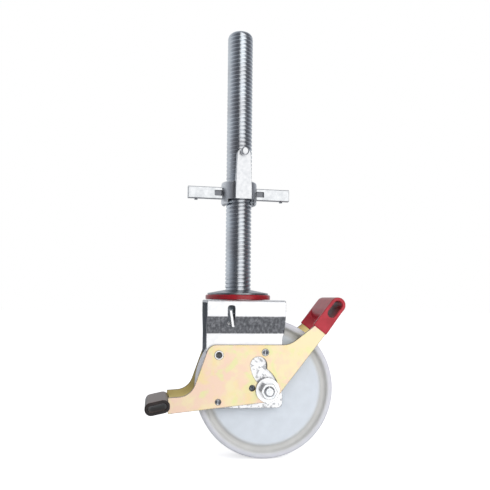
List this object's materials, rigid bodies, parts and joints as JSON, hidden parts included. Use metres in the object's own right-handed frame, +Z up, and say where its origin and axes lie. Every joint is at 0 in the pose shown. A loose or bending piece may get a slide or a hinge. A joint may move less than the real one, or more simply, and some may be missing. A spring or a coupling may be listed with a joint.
{
  "type": "levelling castor",
  "caption": "Braked swivel castor with a nylon wheel in a folded steel fork, on a threaded levelling spindle with a winged adjusting nut.",
  "frame": {"origin": "on the spindle's axis, in the plane of the adjusting nut's top face, where the end of a scaffold tube sits", "axes": "+Z up the spindle, away from the wheel; the wheel trails towards +X; the axle lies along Y"},
  "size_m": [0.2857, 0.1157, 0.634],
  "materials": {
    "thread_zinc": "bright zinc plated, rolled thread",
    "head_zinc": "zinc plated, turned",
    "seal_rubber": "red soft seal ring, satin",
    "ball_steel": "hardened bearing steel, polished",
    "nut_casting": "zinc plated casting, satin",
    "lever_zinc": "bright zinc plated, satin",
    "galvanised_sheet": "hot-dip galvanised sheet, fine spangle",
    "axle_zinc": "bright zinc plated",
    "white_nylon": "white cast nylon, satin",
    "cage_nylon": "natural nylon",
    "yellow_zinc": "yellow passivated zinc with pink and green sheen",
    "red_coat": "red dipped plastic, gloss",
    "black_coat": "black dipped plastic, satin gloss"
  },
  "bodies": {
    "stem": {"spindle": "thread_zinc", "head_flange": "head_zinc", "seal_ring": "seal_rubber", "kingpin_cup": "head_zinc", "kingpin_nut": "head_zinc"},
    "nut": {"adjusting_nut": "nut_casting", "lever_pin": "lever_zinc"},
    "lever": {"locking_lever": "lever_zinc", "locking_stud": "lever_zinc"},
    "fork": {"fork": "galvanised_sheet", "upper_race": "ball_steel", "upper_balls": "ball_steel", "lower_race": "ball_steel", "lower_balls": "ball_steel", "axle_bolt": "axle_zinc", "axle_nut": "axle_zinc", "axle_tube": "axle_zinc", "thrust_washer_front": "cage_nylon", "thrust_washer_rear": "cage_nylon", "axle_collar_front": "axle_zinc", "axle_collar_rear": "axle_zinc", "axle_washer_front": "axle_zinc", "axle_washer_rear": "axle_zinc", "pivot_pin_front": "axle_zinc", "pivot_pin_rear": "axle_zinc"},
    "wheel": {"wheel": "white_nylon", "roller_cage": "cage_nylon", "bearing_rollers": "ball_steel"},
    "brake_frame": {"brake_plate_front": "yellow_zinc", "brake_plate_rear": "yellow_zinc", "red_pedal_tube": "yellow_zinc", "red_pedal_coat": "red_coat", "black_pedal_tube": "yellow_zinc", "black_pedal_coat": "black_coat", "drive_stud_front": "axle_zinc", "drive_stud_rear": "axle_zinc", "guide_rivet_front": "axle_zinc", "guide_rivet_rear": "axle_zinc"},
    "shoe": {"brake_shoe": "galvanised_sheet"}
  },
  "joints": [
    {"name": "swivel", "type": "hinge", "parent": "stem", "child": "fork", "pos_m": [0, 0, -0.1755], "axis": [0, 0, 1], "continuous": true},
    {"name": "wheel_spin", "type": "hinge", "parent": "fork", "child": "wheel", "pos_m": [0.0385, 0, -0.302], "axis": [0, 1, 0], "continuous": true},
    {"name": "brake_pedal", "type": "hinge", "parent": "fork", "child": "brake_frame", "pos_m": [-0.0315, 0, -0.318], "axis": [0, 1, 0], "range_deg": [0, 28]},
    {"name": "shoe_press", "type": "slide", "parent": "fork", "child": "shoe", "axis": [0, 0, -1], "range_m": [0, 0.0045]},
    {"name": "nut_travel", "type": "slide", "parent": "stem", "child": "nut", "axis": [0, 0, 1], "range_m": [-0.125, 0.2105]},
    {"name": "lever_fold", "type": "hinge", "parent": "nut", "child": "lever", "pos_m": [0.00231, -0.0264, -0.0235], "axis": [0.9962, 0.0872, 0], "range_deg": [0, 90]}
  ],
  "couplings": [
    {"joint": "shoe_press", "follows": "brake_pedal", "m_per_rad": 0.0092}
  ]
}
